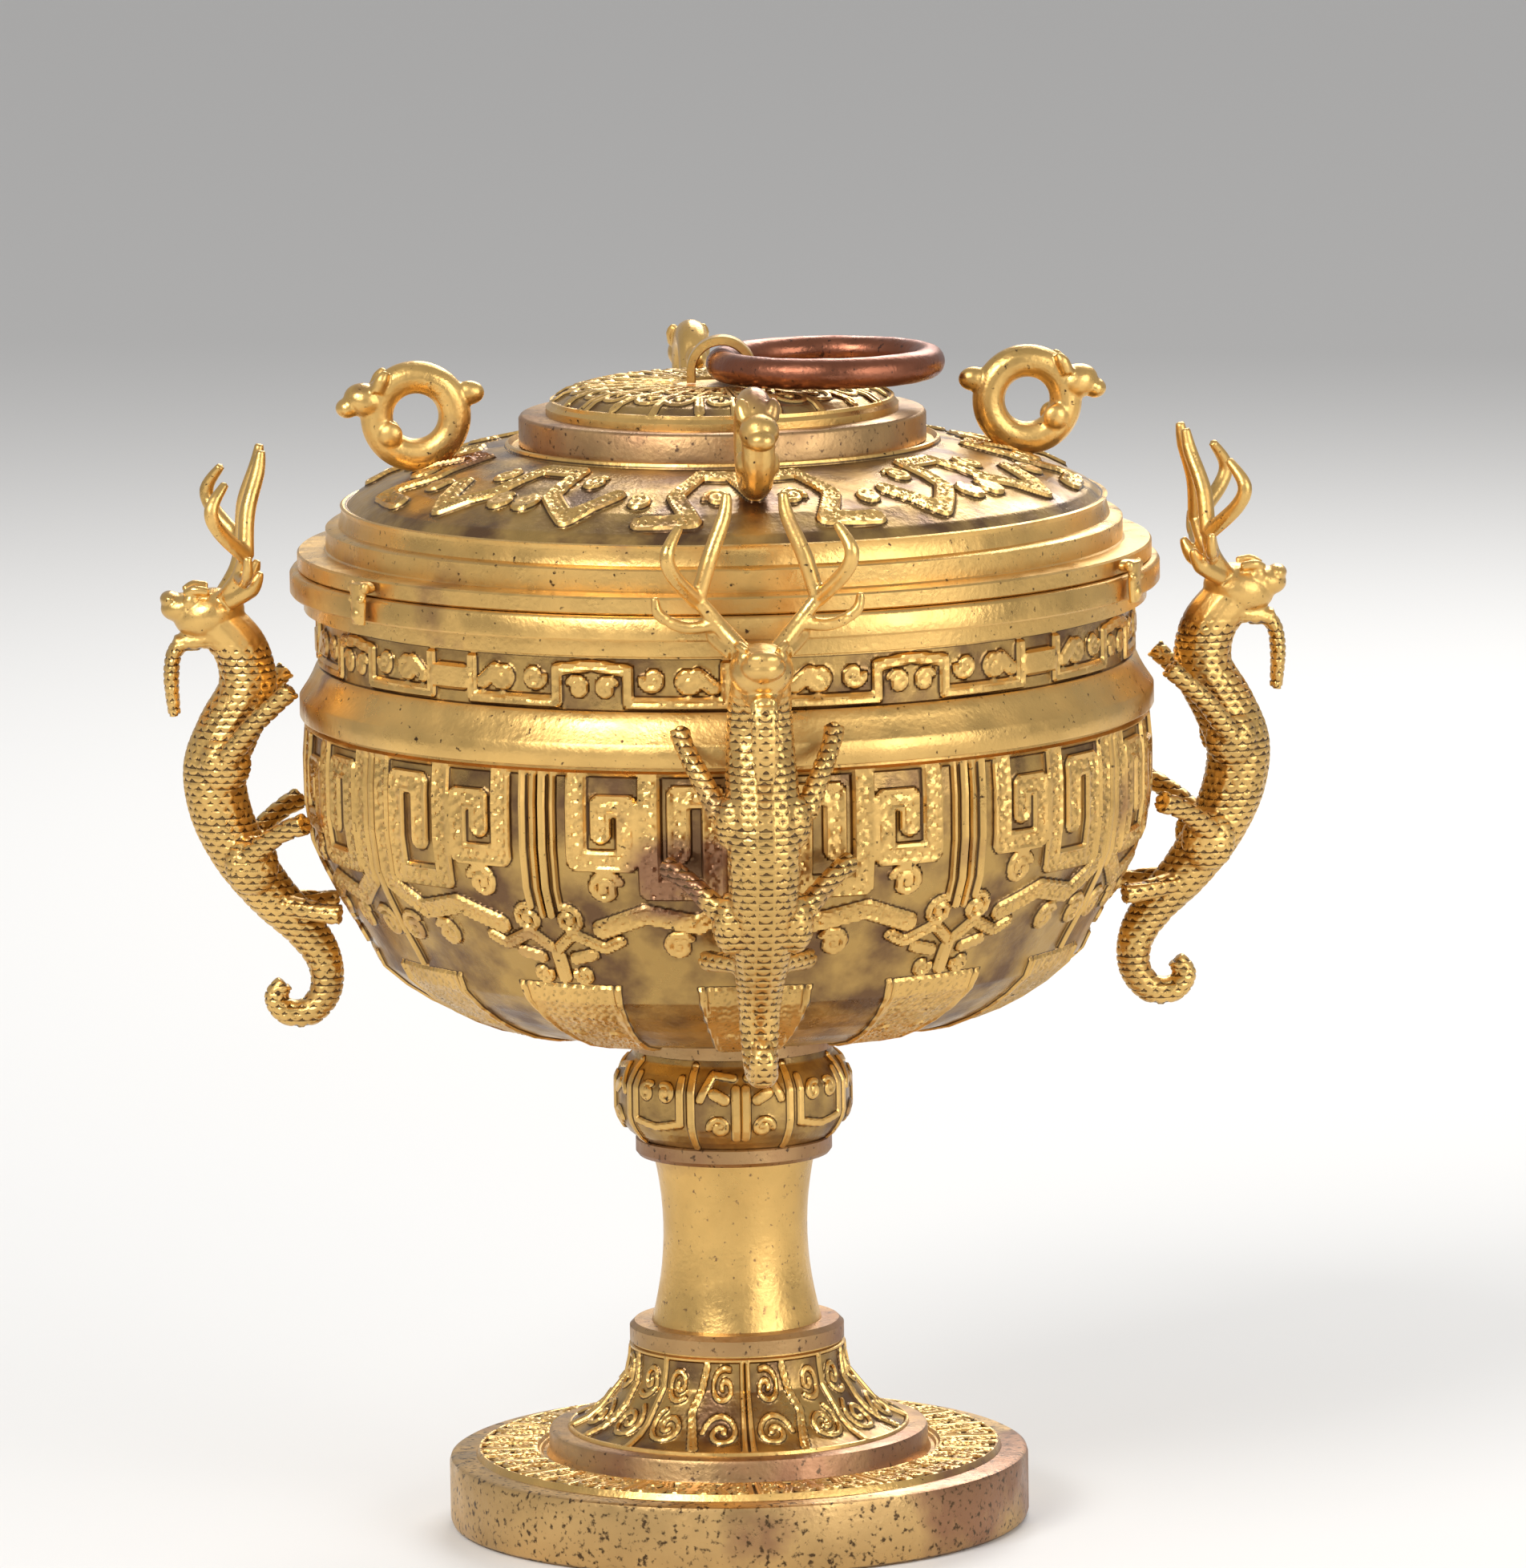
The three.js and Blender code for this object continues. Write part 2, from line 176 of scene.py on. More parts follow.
def bowl_strokes(w, h):
    return [
        ([(1.0, h * 0.36), (1.0, h)], 0.7, 1, False),
        ([(3.4, h * 0.4), (3.4, h)], 0.7, 1, False),
        (spiral(4.6, h * 0.34, 3.2, 1.5, math.pi / 2, -1), 0.7, 1, False),
        ([(8.5, h - 2), (8.5, h * 0.62), (19, h * 0.62), (19, h - 7), (13.6, h - 7), (13.6, h * 0.74)], 2.2, 1, True),
        (spiral(14, h * 0.5, 3.4, 1.6, 0.4), 0.8, 0.9, False),
        ([(23.5, h - 2), (23.5, h * 0.5), (36.5, h * 0.5), (36.5, h - 5), (29.5, h - 5), (29.5, h * 0.66)], 2.3, 1, True),
        ([(41.5, h), (41.5, h * 0.44), (33, h * 0.33), (22, h * 0.38), (12, h * 0.3)], 2.2, 1, True),
        (spiral(40.2, h * 0.22, 3.6, 1.6, 2.4, -1), 0.8, 0.9, False),
        (spiral(28.5, h * 0.22, 3.2, 1.6, 0.6), 0.8, 0.9, False),
        ([(1.2, h * 0.2), (5, h * 0.27), (12, h * 0.2), (15.5, h * 0.24)], 1.3, 1, True),
        ([(4.2, h * 0.14), (8.6, h * 0.165)], 1.4, 1, False),
        ([(0, h * 0.04), (0, h * 0.15)], 1.7, 1, False),
        (spiral(5.2, h * 0.055, 2.2, 1.3, math.pi, 1), 0.7, 1, False),
        ([(w, 0), (w, h)], 0.7, 1, False),
        ([(0, h - 0.4), (w, h - 0.4)], 0.6, 1, False),
    ]


def leaf_strokes(w, h):
    return [
        ([(0, h), (0, h * 0.2)], w * 0.5, 0.8, True),
        ([(w * 0.56, h), (w * 0.4, h * 0.15), (0, h * 0.05)], 0.6, 1, False),
        (spiral(w * 0.25, h * 0.55, 1.9, 1.3, 0, 1), 0.5, 1, False),
    ]


def neck_strokes(w, h):
    return [
        ([(w - 3, h * 0.5), (w, h * 0.5)], 2.5, 1.25, False),
        ([(w - 5.5, h - 1), (w - 5.5, 1.4), (7.5, 1.4), (7.5, h - 2.2), (0, h - 1.2)], 1.15, 1, True),
        (spiral(12.5, h * 0.62, 2.4, 1.4, math.pi, 1), 0.7, 0.9, False),
        (spiral(w * 0.6, h * 0.6, 2.6, 1.4, 0, -1), 0.8, 1, False),
        ([(w * 0.66, h * 0.7), (w * 0.75, h * 0.45)], 1.5, 1, False),
        (spiral(3, h * 0.42, 2.2, 1.3, 0.5, 1), 0.7, 0.9, False),
    ]


def lid_strokes(w, h):
    return [
        ([(0, h * 0.5), (5, h * 0.78), (15, h * 0.8), (20, h * 0.5), (15, h * 0.22), (26, h * 0.2)], 2.3, 1, True),
        ([(w, h * 0.8), (w - 7, h * 0.8), (w - 9, h * 0.45), (w - 18, h * 0.22), (w - 26, h * 0.5)], 2.3, 1, True),
        (spiral(w - 3.4, h * 0.36, 3.1, 1.6, math.pi / 2, 1), 0.9, 1, False),
        (spiral(9.5, h * 0.48, 3.3, 1.6, 0, 1), 0.8, 0.95, False),
        (spiral(w - 16.5, h * 0.66, 3.3, 1.6, 2, -1), 0.8, 0.95, False),
        (spiral(w * 0.47, h * 0.42, 2.9, 1.5, 1, 1), 0.8, 0.95, False),
        ([(0, h - 0.6), (w, h - 0.6)], 0.6, 1, False), ([(0, 0.6), (w, 0.6)], 0.6, 1, False),
    ]


def knob_strokes(w, h):
    return [
        ([(1, h * 0.2), (1, h * 0.7)], 0.9, 1, False),
        ([(3.4, h * 0.6), (5.6, h * 0.66)], 1.1, 1, False),
        ([(1.5, h * 0.82), (6, h * 0.86), (8.5, h * 0.6)], 0.8, 1, False),
        (spiral(4.6, h * 0.32, 2.2, 1.3, 0, 1), 0.6, 1, False),
        ([(10.5, h * 0.06), (10.5, h * 0.95)], 0.8, 1, False),
        ([(13, h * 0.8), (13, h * 0.35), (w, h * 0.3)], 0.8, 1, False),
        (spiral(w - 2.4, h * 0.64, 2, 1.3, 1, 1), 0.6, 1, False),
    ]


def scroll_strokes(w, h):
    return [
        ([(1, 0), (1, h)], 0.6, 1, False),
        (spiral(w * 0.24, h * 0.3, h * 0.2, 1.5, 0, 1), 0.6, 1, False),
        (spiral(w * 0.24, h * 0.74, h * 0.18, 1.4, 2, -1), 0.6, 1, False),
        ([(w * 0.45, h * 0.08), (w * 0.56, h * 0.5), (w * 0.45, h * 0.92)], 1.1, 1, True),
        (spiral(w * 0.76, h * 0.34, h * 0.2, 1.5, 1, -1), 0.6, 1, False),
        (spiral(w * 0.78, h * 0.76, h * 0.17, 1.4, 4, 1), 0.6, 1, False),
        ([(w, 0.5), (w, h - 0.5)], 0.9, 1, False),
        ([(0, h - 0.4), (w, h - 0.4)], 0.5, 1, False), ([(0, 0.4), (w, 0.4)], 0.5, 1, False),
    ]


def resampled(outline, step, fine):
    """The outline's points, with points every step along the stretches that the ranges in fine cover."""
    points = []
    for i, (a, b) in enumerate(zip(outline[:-1], outline[1:])):
        length = math.hypot(b[0] - a[0], b[1] - a[1])
        count = max(1, round(length / step)) if any(lo <= i < hi for lo, hi in fine) else 1
        points += [(a[0] + (b[0] - a[0]) * k / count, a[1] + (b[1] - a[1]) * k / count, i) for k in range(count)]
    return points + [(outline[-1][0], outline[-1][1], len(outline) - 1)]


def vessel(name, outline, bands, columns, body, material, nodes, turn=HANDLE_TURN, step=0.55, edge_wear=False):
    """A turned piece. bands are (first outline index, last, units, strokes, depth, offset in units)."""
    points = resampled(outline, step, [(b[0], b[1]) for b in bands])
    r = np.array([p[0] for p in points])
    z = np.array([p[1] for p in points])
    index = np.array([p[2] for p in points])
    dr, dz = np.gradient(r), np.gradient(z)
    size = np.maximum(np.hypot(dr, dz), 1e-9)
    normal_r, normal_z = dz / size, -dr / size
    phi = np.linspace(0, 2 * math.pi, columns, endpoint=False)
    relief = np.zeros((len(points), columns))
    shade = np.ones((len(points), columns))
    for first, last, units, strokes, depth, offset in bands:
        rows = np.where((index >= first) & (index < last))[0]
        along = np.concatenate([[0], np.cumsum(np.hypot(np.diff(r[rows]), np.diff(z[rows])))])
        height = along[-1]
        half = math.pi / units
        width = half * r[rows].max()
        u = np.abs((phi - offset * 2 * half + half) % (2 * half) - half) / half * width
        unique, back = np.unique(np.round(u, 4), return_inverse=True)
        x, y = np.meshgrid(unique, along)
        tile = stroke_height(x, y, strokes(width, height))
        fade = np.clip(np.minimum(along, height - along) / 0.5, 0, 1)[:, None]
        relief[rows] = tile[:, back] * depth * fade
        shade[rows] = tile[:, back]
    angle = phi + turn
    reach_r = r[:, None] + relief * normal_r[:, None]
    reach_z = z[:, None] + relief * normal_z[:, None]
    verts = np.stack([reach_r * np.sin(angle), -reach_r * np.cos(angle), reach_z * np.ones(columns)], -1)
    rows_count = len(points)
    i, j = np.meshgrid(np.arange(rows_count - 1), np.arange(columns), indexing="ij")
    k = (j + 1) % columns
    faces = np.stack([i * columns + j, i * columns + k, (i + 1) * columns + k, (i + 1) * columns + j], -1)
    face_list = faces.reshape(-1, 4).tolist()
    if math.hypot(outline[0][0] - outline[-1][0], outline[0][1] - outline[-1][1]) > 1e-6:
        face_list.append(list(range(columns))[::-1])
        face_list.append([(rows_count - 1) * columns + c for c in range(columns)])
    mesh = bpy.data.meshes.new(name)
    mesh.from_pydata((verts.reshape(-1, 3) * MM).tolist(), [], face_list)
    mesh.attributes.new("relief", "FLOAT", "POINT").data.foreach_set("value", shade.ravel().astype(np.float32))
    return finished(name, mesh, body, material, nodes)


def finished(name, mesh, body, material, nodes, flat_angle=0.6):
    work = bmesh.new()
    work.from_mesh(mesh)
    bmesh.ops.remove_doubles(work, verts=work.verts, dist=1e-7)
    bmesh.ops.recalc_face_normals(work, faces=work.faces)
    for face in work.faces:
        face.smooth = True
    for edge in work.edges:
        edge.smooth = len(edge.link_faces) != 2 or edge.calc_face_angle() < flat_angle
    work.to_mesh(mesh)
    work.free()
    piece = bpy.data.objects.new(name, mesh)
    bpy.context.scene.collection.objects.link(piece)
    mesh.materials.append(material)
    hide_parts(*nodes)
    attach(piece, body)
    return piece


AXIS = 0.05
BORE = 5.3
# Foot
vessel("plinth_wall", [
    (AXIS, Z_PLINTH - 3.6), (56.4, Z_PLINTH - 3.6), (56.4, 0), (58.5, 0), (59.6, 0.7), (60, 1.8), (60, Z_PLINTH - 1.4),
    (59.7, Z_PLINTH - 0.4), (59, Z_PLINTH), (AXIS, Z_PLINTH)], [], 192, "cup", speckled, ["plinth"])
vessel("plinth_scrolls", [
    (40.6, Z_PLINTH), (54.5, Z_PLINTH), (54.2, Z_PLINTH + 0.6), (41, Z_PLINTH + 0.6), (40.6, Z_PLINTH)],
    [(2, 3, 12, scroll_strokes, 0.85, 0)], 960, "cup", gold, ["plinth_frieze"], step=0.4)
vessel("foot_step_ring", [
    (BORE, Z_PLINTH), (39.9, Z_PLINTH), (39.3, Z_PLINTH + 1.2), (39.3, Z_STEP - 1), (39, Z_STEP - 0.3), (38.3, Z_STEP),
    (BORE, Z_STEP), (BORE, Z_PLINTH)], [], 144, "cup", worn, ["foot_step"])
cone = [(35.9, 0), (31.5, 2), (28.9, 4), (26.1, 7.5), (23.3, 11), (22.5, 15), (22.2, Z_CONE - Z_STEP)]
vessel("foot_cone_relief", [(BORE, Z_STEP)] + [(r - 0.5, Z_STEP + z) for r, z in cone] + [(BORE, Z_CONE), (BORE, Z_STEP)],
       [(1, 7, 4, scroll_strokes, 0.7, 0)], 480, "cup", gold, ["foot_cone"], step=0.4)
vessel("foot_collar_ring", [
    (BORE, Z_CONE), (22.2, Z_CONE), (22.2, Z_FOOT_COLLAR - 1), (21.2, Z_FOOT_COLLAR), (BORE, Z_FOOT_COLLAR),
    (BORE, Z_CONE)], [], 128, "cup", worn, ["foot_collar"])
# Stem and knob
waist = [14.9 + 2.7 * abs(t - 0.55) ** 2 / 0.3025 for t in np.linspace(0, 1, 13)]
vessel("stem_waist", [(BORE, Z_FOOT_COLLAR)]
       + [(r, Z_FOOT_COLLAR + (Z_STEM - Z_FOOT_COLLAR) * k / 12) for k, r in enumerate(waist)]
       + [(BORE, Z_STEM), (BORE, Z_FOOT_COLLAR)], [], 128, "cup", plain_gold, ["stem"])
vessel("stem_collar_ring", [
    (BORE, Z_STEM), (19.7, Z_STEM), (20.3, Z_STEM + 0.8), (20.3, Z_STEM_COLLAR - 0.3), (20, Z_STEM_COLLAR),
    (BORE, Z_STEM_COLLAR), (BORE, Z_STEM)], [], 128, "cup", worn, ["stem_collar"])
knob_h = Z_KNOB - Z_STEM_COLLAR
knob = [(19.7 + 4.6 * math.sin(math.pi * min(1, k / 12 * 1.08)) ** 0.7 + 0.8 * k / 12, Z_STEM_COLLAR + knob_h * k / 12)
        for k in range(13)]
vessel("knob_relief", [(BORE, Z_STEM_COLLAR)] + [(min(r, 24.1), z) for r, z in knob] + [(BORE, Z_KNOB),
       (BORE, Z_STEM_COLLAR)], [(1, 13, 4, knob_strokes, 0.6, 0)], 480, "cup", gold, ["knob"], step=0.35)
vessel("bowl_collar_ring", [
    (BORE, Z_KNOB), (21.4, Z_KNOB), (21.4, Z_BOWL - 0.6), (20.8, Z_BOWL), (BORE, Z_BOWL), (BORE, Z_KNOB)],
    [], 128, "cup", worn, ["bowl_collar"])

# Bowl
lower = [(25.4, 0), (32, 0.8), (39.4, 1.6), (46.5, 2.6), (52.6, 4), (58, 6.2), (62.5, 8.6), (67.6, 12), (72.2, 16)]
upper = [(75, 20), (77, 23.6), (80, 28.6), (83.8, 36), (85.9, 41), (87.1, 49), (87.2, 58), (86.6, 65.6)]
ledge = [(87.6, 66), (87.8, 66.4), (87.8, 70.2), (87.4, 70.8), (86.2, 72.6), (85.2, 74.4), (84.4, 76.2)]
rim = [(84.1, 88), (86.5, 88.2), (86.5, 91.2), (89, 91.6), (89.3, 92), (89.3, 95.7), (88.9, 96.3), (88.5, 96.5)]
inside = [(80.7, 96.5), (80.7, 64), (83.1, 50), (80.3, 37), (73.5, 25.5), (59, 11.8), (35.9, 5.2), (AXIS, 4.4)]
outside = lower + upper + ledge
neck = [(83.2, 77), (83.2, 87.6)]
outline = [(AXIS, 0)] + outside + neck + rim + inside
start_leaf = 3
start_upper = 1 + len(lower)
start_neck = 1 + len(outside)
vessel("bowl_relief", [(r - (0.9 if start_upper <= k < start_upper + len(upper) else 0), Z_BOWL + z)
                       for k, (r, z) in enumerate(outline)],
       [(start_leaf, start_upper, 12, leaf_strokes, 0.8, 0), (start_upper, start_upper + 7, 6, bowl_strokes, 1.1, 0.5),
        (start_neck, start_neck + 1, 8, neck_strokes, 1.0, 0.5)], 1008, "cup", gold, ["bowl"], step=0.5)

# Lid
dome = [(R_LID_STEP - 3.4, 11.5), (R_LID_STEP - 6.4, 14.4), (R_LID_STEP - 13, 17.8), (R_LID_STEP - 23, 21),
        (R_LID_STEP - 33, 23.2), (R_TOP_STEP + 1, Z_TOP_STEP - Z_LID - 0.3)]
lid = [(80.2, 0), (87.4, 0), (87.7, 0.3), (87.7, 3.1), (87.3, 3.5), (82.2, 3.7), (81.8, 4), (81.8, 8), (81.3, 8.4),
       (79.2, 8.7)] + dome + [(AXIS, Z_TOP_STEP - Z_LID)]
lid_in = [(AXIS, 21.5), (41.8, 21.5), (58.8, 18.4), (71.8, 12), (76.8, 3), (76.8, -5.5), (80.2, -5.5), (80.2, 0)]
vessel("lid_relief", [(r, Z_LID + z) for r, z in lid + lid_in], [(10, 15, 4, lid_strokes, 1.0, 0)], 960,
       "lid", gold, ["lid_shell"], turn=FINIAL_TURN, step=0.5)
vessel("lid_step_ring", [
    (AXIS, Z_TOP_STEP), (41.8, Z_TOP_STEP), (41.8, Z_DISC - 0.8), (41.4, Z_DISC - 0.2), (41, Z_DISC), (AXIS, Z_DISC)],
    [], 144, "lid", worn, ["lid_top_step"])
vessel("lid_disc_relief", [
    (AXIS, Z_DISC), (36.2, Z_DISC), (36.2, Z_DISC + 1.4), (35.4, Z_DISC + 2.2), (32.4, Z_TOP - 1.9), (28, Z_TOP - 0.7),
    (20, Z_TOP - 0.6), (9, Z_TOP - 0.6), (AXIS, Z_TOP - 0.5)], [(3, 7, 6, scroll_strokes, 0.6, 0)], 720,
    "lid", gold, ["lid_top_disc"], turn=FINIAL_TURN, step=0.45)


# Modelled beasts: bars and eggs fused, and the dragon scaled below its head
def bar(work, path, radii, sides=14, steps=6, wide=1.0):
    points = []
    for i in range(len(path) - 1):
        p = [np.array(path[max(0, min(len(path) - 1, i + k))], float) for k in (-1, 0, 1, 2)]
        for t in np.linspace(0, 1, steps, endpoint=False):
            a = 0.5 * ((2 * p[1]) + (p[2] - p[0]) * t + (2 * p[0] - 5 * p[1] + 4 * p[2] - p[3]) * t ** 2
                       + (3 * p[1] - p[0] - 3 * p[2] + p[3]) * t ** 3)
            points.append((a, radii[i] + (radii[i + 1] - radii[i]) * t))
    points.append((np.array(path[-1], float), radii[-1]))
    rings = []
    for i, (centre, radius) in enumerate(points):
        tangent = Vector(points[min(i + 1, len(points) - 1)][0] - points[max(i - 1, 0)][0]).normalized()
        across = Vector((0, 1, 0)) if abs(tangent.y) < 0.85 else Vector((1, 0, 0))
        side = (across - tangent * across.dot(tangent)).normalized()
        other = tangent.cross(side)
        rings.append([work.verts.new(Vector(centre) + side * math.cos(a) * radius * wide + other * math.sin(a) * radius)
                      for a in np.linspace(0, 2 * math.pi, sides, endpoint=False)])
    for first, second in zip(rings[:-1], rings[1:]):
        for k in range(sides):
            m = (k + 1) % sides
            work.faces.new((first[k], first[m], second[m], second[k]))
    work.faces.new(rings[0][::-1])
    work.faces.new(rings[-1])


def egg(work, centre, size, turn=0.0):
    matrix = Matrix.Translation(centre) @ Matrix.Rotation(turn, 4, "Y") @ Matrix.Diagonal((*size, 1))
    bmesh.ops.create_icosphere(work, subdivisions=4, radius=1, matrix=matrix)


def beast(name, build, turns, body, nodes, material, voxel, scales=0, scales_top=0):
    """One modelled beast in its own frame, outward along +X in millimetres, copied round the vessel.
    scales is the width of a scale, and scales_top the height where they end."""
    work = bmesh.new()
    build(work)
    bmesh.ops.recalc_face_normals(work, faces=work.faces)
    rough = bpy.data.meshes.new(name + "_rough")
    work.to_mesh(rough)
    work.free()
    maker = bpy.data.objects.new(name + "_maker", rough)
    bpy.context.scene.collection.objects.link(maker)
    remesh = maker.modifiers.new("fuse", "REMESH")
    remesh.mode = "VOXEL"
    remesh.voxel_size = voxel
    smooth = maker.modifiers.new("soften", "SMOOTH")
    smooth.iterations = 3
    evaluated = maker.evaluated_get(bpy.context.evaluated_depsgraph_get())
    fused = bpy.data.meshes.new_from_object(evaluated)
    bpy.data.objects.remove(maker)
    count = len(fused.vertices)
    co = np.empty(count * 3)
    no = np.empty(count * 3)
    fused.vertices.foreach_get("co", co)
    fused.vertices.foreach_get("normal", no)
    co, no = co.reshape(-1, 3), no.reshape(-1, 3)
    moved, shade = co, np.ones(count)
    if scales:
        tall = scales * 0.62
        row = np.floor(co[:, 2] / tall)
        flank = np.abs(no[:, 1]) > np.abs(no[:, 0])
        across = np.where(flank, co[:, 0], co[:, 1]) + (row % 2) * scales / 2
        reach = np.hypot(across % scales - scales / 2, tall - (co[:, 2] - row * tall))
        scale = np.clip((scales * 0.6 - reach) / (scales * 0.14), 0, 1)
        spine = np.clip(1 - np.abs(np.abs(co[:, 1]) - 1.7) / 0.45, 0, 1) * (no[:, 0] > 0.3)
        covered = np.clip((scales_top - co[:, 2]) / 3, 0, 1)
        height = np.maximum(scale, spine)
        moved = co + no * ((height - 1) * 0.3 * covered)[:, None]
        # Painted shade: the valleys between scales get a low value, which the gilt material paints dark
        shade = 1 - (1 - height) * 0.85 * covered
    for node, turn in zip(nodes, turns):
        mesh = fused.copy()
        c, s = math.cos(turn - math.pi / 2), math.sin(turn - math.pi / 2)
        placed = np.stack([moved[:, 0] * c - moved[:, 1] * s, moved[:, 0] * s + moved[:, 1] * c, moved[:, 2]], -1) * MM
        mesh.vertices.foreach_set("co", placed.ravel())
        mesh.attributes.new("relief", "FLOAT", "POINT").data.foreach_set("value", shade.astype(np.float32))
        mesh.materials.clear()
        finished(node + "_beast", mesh, body, material, [node], 3.2)


def up(z):
    return Z_BOWL + z


def dragon(work):
    bar(work, [(104, 0, up(86)), (99.5, 0, up(80)), (98.5, 0, up(72)), (102.5, 0, up(64)), (105.5, 0, up(56)),
               (104.5, 0, up(47)), (100.5, 0, up(38)), (94.5, 0, up(29.5)), (88, 0, up(22.5)), (84, 0, up(16)),
               (83.6, 0, up(9.5)), (87, 0, up(5)), (91.6, 0, up(4.9)), (94, 0, up(8)), (92, 0, up(11))],
        [5.2, 5.8, 6.2, 6.6, 6.7, 6.5, 6, 5.2, 4.4, 3.8, 3.4, 3.1, 2.8, 2.5, 2], wide=1.12)
    egg(work, (106, 0, up(88)), (7.4, 6.4, 5.2), 0.2)
    egg(work, (111.5, 0, up(89.4)), (4.4, 4.4, 3), 0.1)
    egg(work, (114, 0, up(91.2)), (2, 3.4, 1.7))
    bar(work, [(105, 0, up(83.5)), (110, 0, up(82.2)), (113.4, 0, up(82.6))], [2.6, 1.9, 1.2], wide=1.8)
    bar(work, [(109, 0, up(84)), (113, 0, up(80.5)), (114, 0, up(75)), (113.5, 0, up(67))], [1.8, 1.7, 1.7, 1.3], wide=1.7)
    for side in (-1, 1):
        def at(r, t, z):
            return (r, side * t, up(z))
        bar(work, [at(103.5, 2.5, 90.5), at(100, 7.5, 96), at(98.5, 12, 101.5)], [2, 1.7, 1.5])
        bar(work, [at(98.5, 12, 101), at(104, 17, 107), at(105.5, 18.2, 111.5), at(102.5, 15.5, 116.5)], [1.7, 1.6, 1.5, 0.9])
        bar(work, [at(98.5, 12, 101), at(98, 9.4, 109.5), at(95.6, 6.2, 117.5), at(94.8, 5.6, 122)], [1.7, 1.7, 1.5, 0.9])
        bar(work, [at(99.8, 8, 96.5), at(99, 14.5, 96), at(98.4, 19.5, 98.5), at(98.4, 20.4, 102)], [1.4, 1.3, 1.2, 0.8])
        bar(work, [at(102, 5, 91), at(97.5, 8.5, 94), at(95.5, 9.6, 97.5)], [1.8, 1.9, 0.7])
        egg(work, at(109.6, 3.7, 91), (1.7, 1.3, 1.5))
        bar(work, [at(106, 4.6, 93), at(109, 4.4, 93.4), at(111, 3, 92.6)], [0.9, 1, 0.7])
        egg(work, at(103.5, 6, 57.5), (5.4, 3.8, 5.8))
        bar(work, [at(103, 8.5, 59), at(98, 12, 66), at(93, 14.5, 71), at(89.9, 15.4, 74)], [2.6, 2.2, 2, 2.2])
        egg(work, at(98.5, 6.4, 36.5), (5.6, 3.8, 6.2))
        bar(work, [at(98.5, 8.5, 39), at(93, 14, 44), at(87.8, 18.2, 46.6)], [2.6, 2.1, 2.4])
        bar(work, [at(91, 4, 27.5), at(84, 8.6, 26.6), at(80.6, 9.9, 26.3)], [2.3, 2.1, 2.3])


Z_FINIAL = Z_LID + 31.2


def finial(work):
    ring = [(63 + 8 * math.cos(a), 0, Z_FINIAL + 8 * math.sin(a)) for a in np.linspace(0, 2 * math.pi, 25)]
    bar(work, ring, [3.4] * 25, steps=3)
    egg(work, (73.2, 0, Z_FINIAL + 3.4), (4.6, 4, 3.6), -0.3)
    egg(work, (77, 0, Z_FINIAL + 2), (2.4, 2.8, 2.1))
    egg(work, (52, 0, Z_FINIAL + 4.5), (3.2, 2.3, 2.5))
    for side in (-1, 1):
        bar(work, [(71, side * 2.6, Z_FINIAL + 5.6), (70, side * 3.2, Z_FINIAL + 8), (69, side * 3, Z_FINIAL + 9.6)],
            [1.6, 1.4, 0.6])
        egg(work, (75.4, side * 2.3, Z_FINIAL + 4.4), (1, 0.9, 0.9))
        egg(work, (68.5, side * 2.9, Z_FINIAL - 3.4), (2.6, 1.6, 2.6))


R_CLASP = R_RIM + 0.3


def clasp(work):
    bar(work, [(88.4, 0, Z_LID + 2), (R_CLASP + 1.4, 0, Z_LID + 2)], [1.3, 1.3], wide=2)
    bar(work, [(R_CLASP + 1.3, 0, Z_LID + 3), (R_CLASP + 1.3, 0, Z_LID - 5.4)], [1.2, 0.9], wide=2.2)
    egg(work, (R_CLASP + 1.7, 0, Z_LID - 3.4), (1.1, 1.4, 1.6))
    for side in (-1, 1):
        egg(work, (R_CLASP + 1.7, side * 1.7, Z_LID - 0.2), (0.9, 0.8, 0.7))
        egg(work, (R_CLASP + 1.2, side * 2.4, Z_LID + 2.2), (1, 0.8, 1.2))


quarter = math.pi / 2
third = 2 * math.pi / 3
beast("dragon", dragon, [HANDLE_TURN + quarter * k for k in range(4)], "cup",
      ["dragon_front", "dragon_right", "dragon_back", "dragon_left"], gold, 0.36, 2.4, up(84))
beast("finial", finial, [FINIAL_TURN + quarter * k for k in range(4)], "lid",
      ["finial_front", "finial_right", "finial_back", "finial_left"], gold, 0.35)
beast("clasp", clasp, [FINIAL_TURN - third / 2 + third * k for k in range(3)], "lid",
      ["clasp_left", "clasp_right", "clasp_back"], gold, 0.2)

# Ring and loop
Z_RING = Z_TOP + 0.3 + 3.25
work = bmesh.new()
circle = [(21.3 + 21.3 * math.cos(a), 21.3 * math.sin(a)) for a in np.linspace(0, 2 * math.pi, 96, endpoint=False)]
rings = []
for k, (x, y) in enumerate(circle):
    out = Vector((x - 21.3, y, 0)).normalized()
    wire = 3.2 + 0.05 * math.sin(k * 0.9) * math.sin(k * 0.37)
    rings.append([work.verts.new((Vector((x, y, Z_RING)) + out * math.cos(a) * wire + Vector((0, 0, math.sin(a) * wire))) * MM)
                  for a in np.linspace(0, 2 * math.pi, 28, endpoint=False)])
for k, ring in enumerate(rings):
    after = rings[(k + 1) % len(rings)]
    for m in range(28):
        work.faces.new((ring[m], ring[(m + 1) % 28], after[(m + 1) % 28], after[m]))
mesh = bpy.data.meshes.new("ring")
work.to_mesh(mesh)
work.free()
mesh.attributes.new("relief", "FLOAT", "POINT").data.foreach_set("value", np.ones(len(mesh.vertices), np.float32))
finished("ring_copper", mesh, "ring", copper, ["lid_ring"])

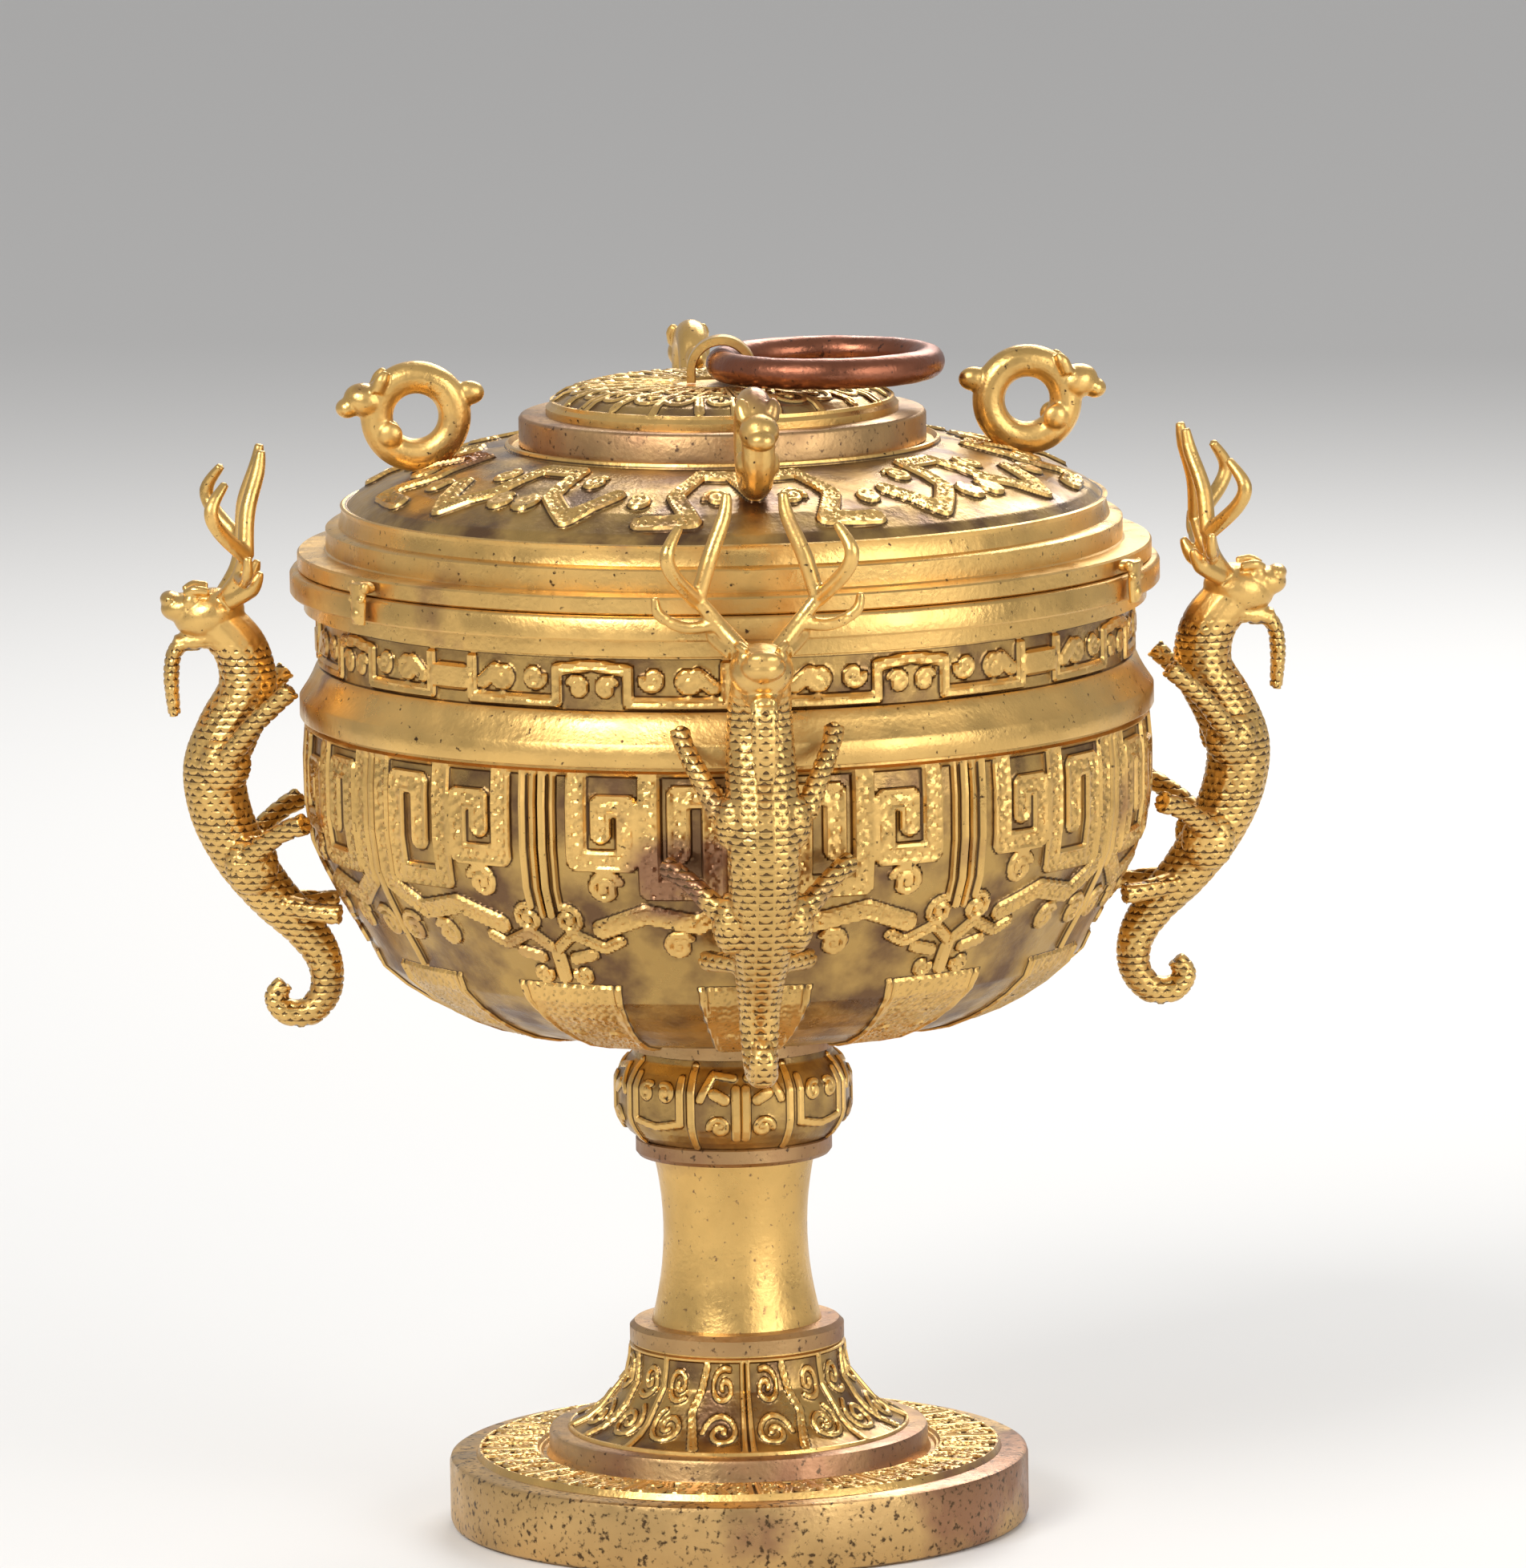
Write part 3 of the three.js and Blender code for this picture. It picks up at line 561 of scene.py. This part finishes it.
arch = [(5.2, 0), (5.2, 2.3)] + [(5.2 * math.cos(a), 2.3 + 5.2 * math.sin(a)) for a in np.linspace(0.1, math.pi - 0.1, 30)]
arch += [(-5.2, 2.3), (-5.2, 0)]
work = bmesh.new()
loops = []
for x, z in arch:
    out = Vector((x, 0, max(z - 2.3, 0))).normalized()
    corners = [(0.1, -2.3), (0.1, 2.3), (0.35, 2.5), (1.7, 2.5), (1.95, 2.2), (1.95, -2.2), (1.7, -2.5), (0.35, -2.5)]
    loops.append([work.verts.new((Vector((x, 0, z + Z_TOP)) + out * c + Vector((0, w, 0))) * MM) for c, w in corners])
for first, second in zip(loops[:-1], loops[1:]):
    for m in range(8):
        work.faces.new((first[m], first[(m + 1) % 8], second[(m + 1) % 8], second[m]))
work.faces.new(loops[0])
work.faces.new(loops[-1][::-1])
mesh = bpy.data.meshes.new("loop")
work.to_mesh(mesh)
work.free()
mesh.attributes.new("relief", "FLOAT", "POINT").data.foreach_set("value", np.ones(len(mesh.vertices), np.float32))
finished("loop_arch", mesh, "lid", plain_gold, ["lid_loop"])
# The rod stays the CAD's own, because the foot, stem and bowl hide all of it

# Floor, lights and world
bpy.ops.mesh.primitive_plane_add(size=12)
floor = bpy.context.object
floor.name = "floor"
pale = bpy.data.materials.new("floor_pale")
pale.use_nodes = True
pale.node_tree.nodes["Principled BSDF"].inputs["Base Color"].default_value = (0.78, 0.77, 0.75, 1)
pale.node_tree.nodes["Principled BSDF"].inputs["Roughness"].default_value = 0.7
floor.data.materials.append(pale)
for name, place, size, power in (("key", (-0.9, -1.3, 1.3), 0.9, 26), ("fill", (1.2, -1.1, 0.7), 1.1, 12),
                                 ("rim_light", (0.3, 1.3, 1.1), 0.8, 14)):
    lamp = bpy.data.lights.new(name, "AREA")
    lamp.size = size
    lamp.energy = power
    holder = bpy.data.objects.new(name, lamp)
    holder.location = place
    holder.rotation_euler = (Vector((0, 0, 0.13)) - Vector(place)).to_track_quat("-Z", "Y").to_euler()
    bpy.context.scene.collection.objects.link(holder)
world = bpy.data.worlds.new("studio")
world.use_nodes = True
world.node_tree.nodes["Background"].inputs["Color"].default_value = (0.85, 0.85, 0.86, 1)
world.node_tree.nodes["Background"].inputs["Strength"].default_value = 0.55
bpy.context.scene.world = world
bpy.context.scene.view_settings.view_transform = "Standard"

# Camera: measured from the ellipses that the foot and the lid make in the photograph
PHOTO_HEIGHT = 1956
PHOTO_CENTRE = (952, 978)
PIXEL_MM = 0.165
AXIS_X_AT_CENTRE = 908.6
FOOT_LEVEL_Y = 1900
TALL = 0.1668
DISTANCE = 2.55
ELEVATION = math.radians(8.4)
ROLL = math.radians(-0.9)
aim = Vector(((PHOTO_CENTRE[0] - AXIS_X_AT_CENTRE) * PIXEL_MM * MM, 0, (FOOT_LEVEL_Y - PHOTO_CENTRE[1]) * TALL * MM))
camera = bpy.data.cameras.new("camera")
camera.sensor_fit = "VERTICAL"
camera.sensor_height = 36
camera.lens = 36 * DISTANCE / (PHOTO_HEIGHT * PIXEL_MM * MM)
camera.clip_end = 20
eye = bpy.data.objects.new("camera", camera)
eye.location = aim + Vector((0, -math.cos(ELEVATION), math.sin(ELEVATION))) * DISTANCE
look = (aim - eye.location).to_track_quat("-Z", "Y").to_matrix().to_4x4()
eye.rotation_euler = (look @ Matrix.Rotation(ROLL, 4, "Z")).to_euler()
bpy.context.scene.collection.objects.link(eye)
bpy.context.scene.camera = eye

bpy.context.view_layer.update()
